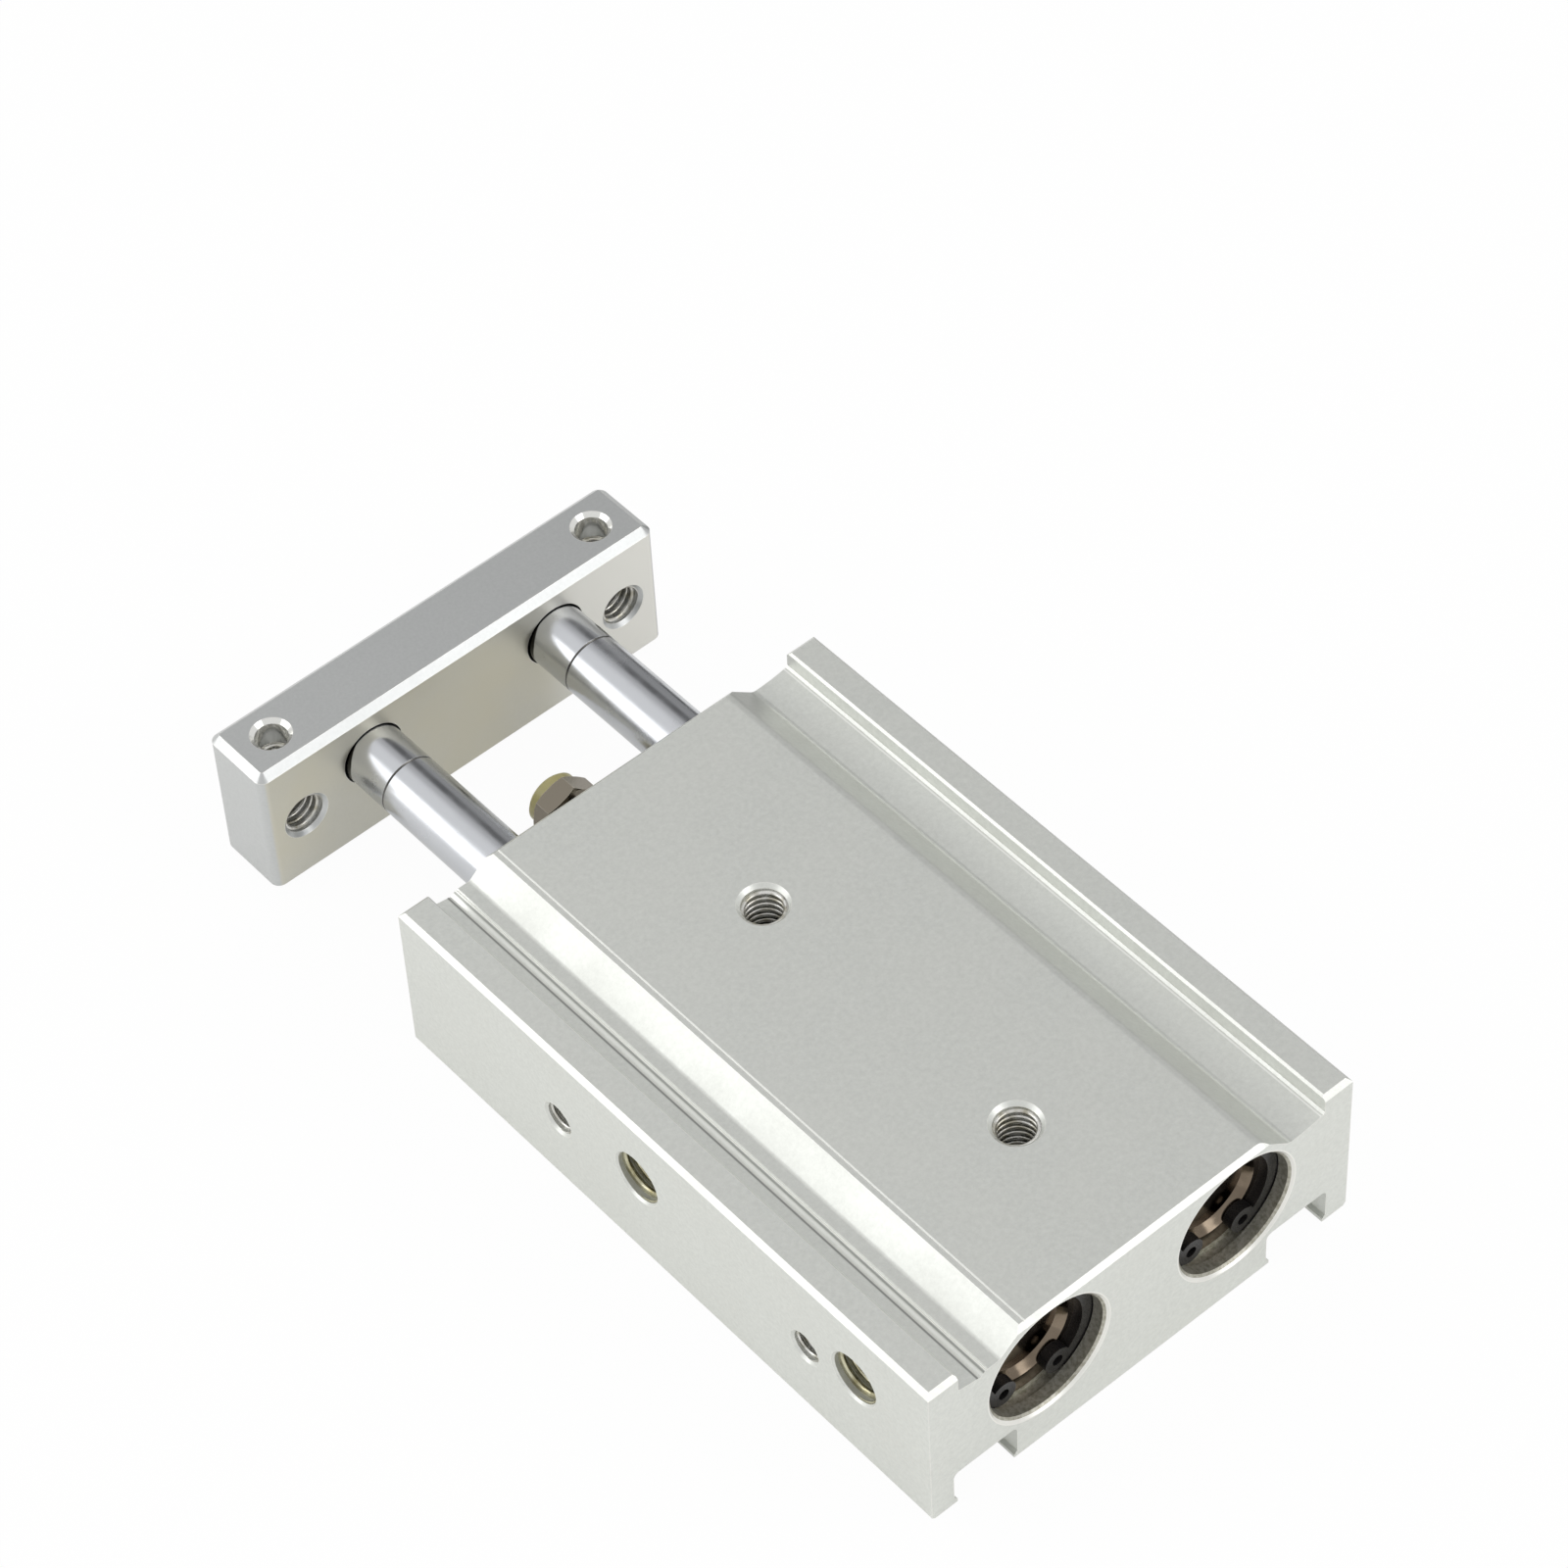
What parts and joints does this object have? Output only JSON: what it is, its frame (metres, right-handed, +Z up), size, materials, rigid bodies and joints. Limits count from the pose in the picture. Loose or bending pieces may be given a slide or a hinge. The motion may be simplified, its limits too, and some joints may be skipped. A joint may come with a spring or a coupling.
{
  "type": "guided pneumatic cylinder",
  "caption": "Compact guided pneumatic cylinder: flat aluminium body with parallel bores, chromed rods that move together, a tapped tooling plate and a padded stroke screw.",
  "frame": {"origin": "on the base, midway between the two mounting holes", "axes": "+Y along the rods towards the tooling plate, +Z up out of the flat top, +X to the right seen from the head end"},
  "size_m": [0.046, 0.094, 0.017],
  "materials": {
    "anodised_body": "fine blasted, clear anodised",
    "anodised_plate": "fine blasted, clear anodised",
    "machined_cover": "turned, chromated",
    "bearing_alloy": "turned bronze",
    "seal_rubber": "moulded nitrile rubber",
    "spring_steel": "phosphated spring steel",
    "hard_chrome": "ground hard chrome",
    "piston_alloy": "turned aluminium",
    "bonded_magnet": "plastic bonded magnet",
    "urethane": "translucent polyurethane",
    "black_steel": "black oxide steel",
    "zinc_steel": "bright zinc plated steel"
  },
  "bodies": {
    "cylinder_body": {"housing": "anodised_body", "head_cover_left": "machined_cover", "head_o_ring_left": "seal_rubber", "head_retaining_ring_left": "spring_steel", "rod_bearing_left": "bearing_alloy", "bearing_o_ring_left": "seal_rubber", "rod_seal_left": "seal_rubber", "seal_retainer_left": "machined_cover", "rod_retaining_ring_left": "spring_steel", "head_cover_right": "machined_cover", "head_o_ring_right": "seal_rubber", "head_retaining_ring_right": "spring_steel", "rod_bearing_right": "bearing_alloy", "bearing_o_ring_right": "seal_rubber", "rod_seal_right": "seal_rubber", "seal_retainer_right": "machined_cover", "rod_retaining_ring_right": "spring_steel", "port_plug_rear": "black_steel", "port_plug_front": "black_steel", "lock_nut": "zinc_steel"},
    "rod_assembly": {"tooling_plate": "anodised_plate", "piston_rod_left": "hard_chrome", "piston_front_half_left": "piston_alloy", "piston_seal_left": "seal_rubber", "piston_magnet_left": "bonded_magnet", "piston_rear_half_left": "piston_alloy", "front_cushion_left": "urethane", "rear_cushion_left": "urethane", "plate_screw_left": "black_steel", "piston_rod_right": "hard_chrome", "piston_front_half_right": "piston_alloy", "piston_seal_right": "seal_rubber", "piston_magnet_right": "bonded_magnet", "piston_rear_half_right": "piston_alloy", "front_cushion_right": "urethane", "rear_cushion_right": "urethane", "plate_screw_right": "black_steel"},
    "stroke_pad": {"bumper_pad": "urethane"},
    "stroke_screw": {"bumper_screw": "zinc_steel"}
  },
  "joints": [
    {"name": "rod_slide", "type": "slide", "parent": "cylinder_body", "child": "rod_assembly", "axis": [0, 1, 0], "range_m": [-0.011, 0]},
    {"name": "stroke_pad_slide", "type": "slide", "parent": "cylinder_body", "child": "stroke_pad", "axis": [0, 1, 0], "range_m": [-0.0035, 0]},
    {"name": "stroke_screw_turn", "type": "hinge", "parent": "stroke_pad", "child": "stroke_screw", "pos_m": [0, 0.0426, 0.0058], "axis": [0, 1, 0], "range_deg": [-2521, 0]}
  ],
  "couplings": [
    {"joint": "stroke_screw_turn", "follows": "stroke_pad_slide", "rad_per_m": 12566}
  ]
}
